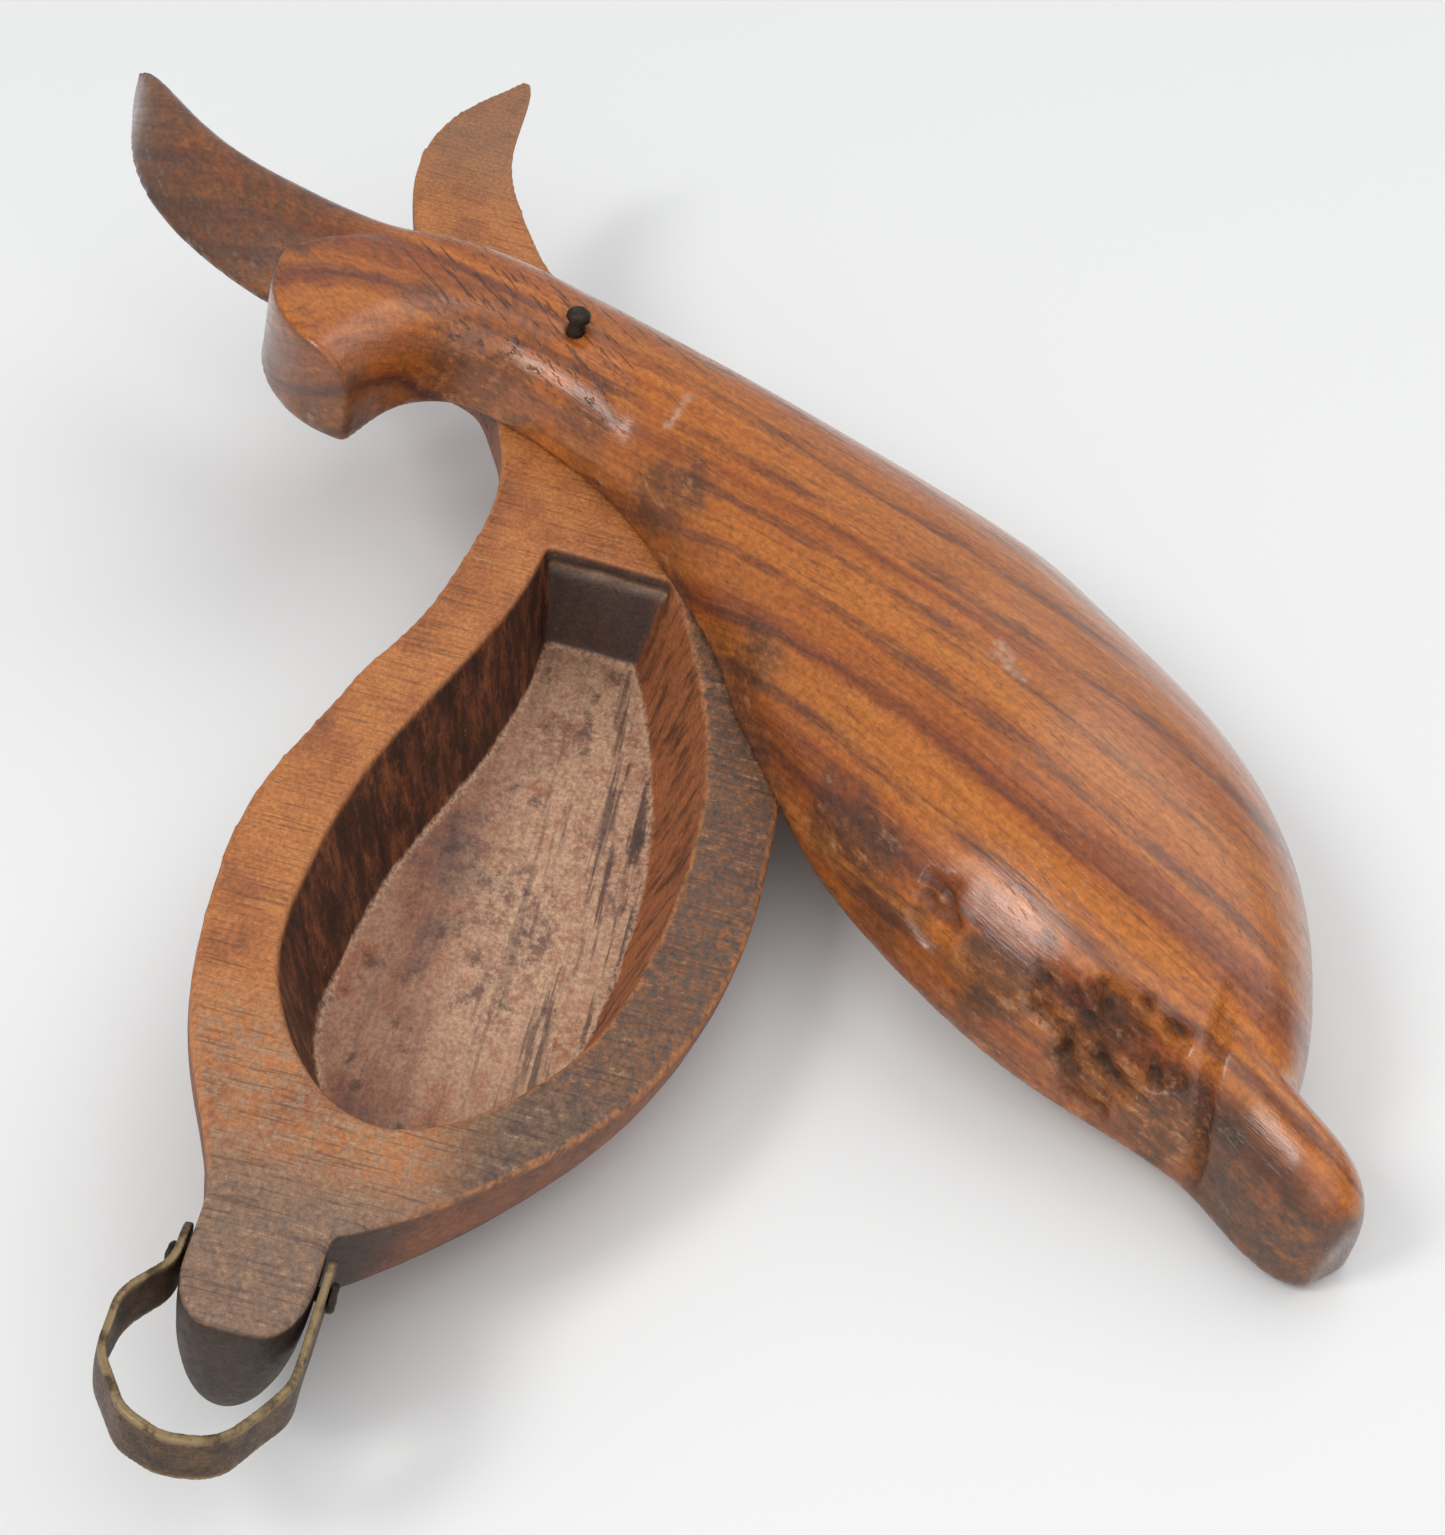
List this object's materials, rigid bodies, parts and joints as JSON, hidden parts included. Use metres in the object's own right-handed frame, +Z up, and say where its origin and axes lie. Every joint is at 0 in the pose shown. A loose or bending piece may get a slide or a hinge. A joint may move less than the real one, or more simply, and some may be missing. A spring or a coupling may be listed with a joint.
{
  "type": "swivel-lid carved wooden box",
  "caption": "Hand-carved hardwood box in two matching halves, a hollow bowl and a domed lid that swings sideways on a nail, with a bent metal strap at the nose to hold it shut.",
  "frame": {"origin": "centre of the open box's bounding box, on the table it stands on", "axes": "+Y along the bowl from its nose to its horn, +Z up, +X towards the side the lid swings out to"},
  "size_m": [0.1738, 0.2438, 0.0435],
  "materials": {
    "bowl_wood": "worn hardwood, matte, darkened with use",
    "lid_wood": "polished red-brown hardwood with dark streaks",
    "nail_iron": "black hand-made iron",
    "strap_metal": "dark brown rusted strip with worn edges",
    "tack_iron": "dark iron"
  },
  "bodies": {
    "base": {"bowl": "bowl_wood", "pivot_nail": "nail_iron", "tack_left": "tack_iron", "tack_right": "tack_iron"},
    "lid": {"lid": "lid_wood"},
    "strap": {"strap": "strap_metal"}
  },
  "joints": [
    {"name": "lid_swing", "type": "hinge", "parent": "base", "child": "lid", "pos_m": [-0.01674, 0.03989, 0.02202], "axis": [0.2103, 0, 0.9776], "range_deg": [-43, 137]},
    {"name": "strap_swing", "type": "hinge", "parent": "base", "child": "strap", "pos_m": [-0.01827, -0.10161, 0.01866], "axis": [-0.9776, 0, 0.2103], "range_deg": [-88, 92]}
  ]
}
